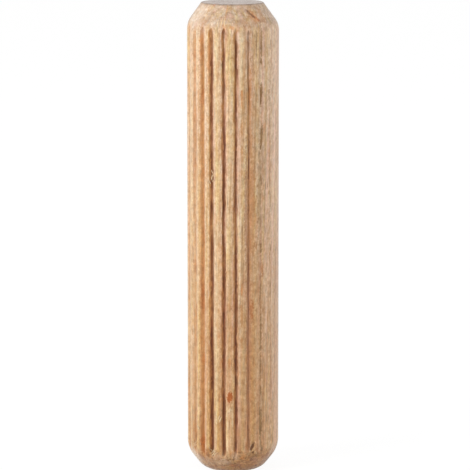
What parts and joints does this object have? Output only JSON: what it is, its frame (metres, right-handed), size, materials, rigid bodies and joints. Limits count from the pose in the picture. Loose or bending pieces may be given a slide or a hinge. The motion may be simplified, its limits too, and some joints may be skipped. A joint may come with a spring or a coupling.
{
  "type": "fluted wooden dowel pin",
  "caption": "Straight round wooden dowel pin with pressed lengthwise flutes and a rounded chamfer at each end, for gluing two boards together.",
  "frame": {"origin": "middle of the lower end face, which the pin stands on", "axes": "+Z along the pin towards its upper end, -Y towards the side where the flutes are seen best, +X towards the side where they die out"},
  "size_m": [0.0078, 0.0078, 0.04],
  "materials": {
    "beech": "bare, turned and pressed, with a fine dry grain"
  },
  "bodies": {
    "root": {"dowel_pin": "beech"}
  },
  "joints": []
}
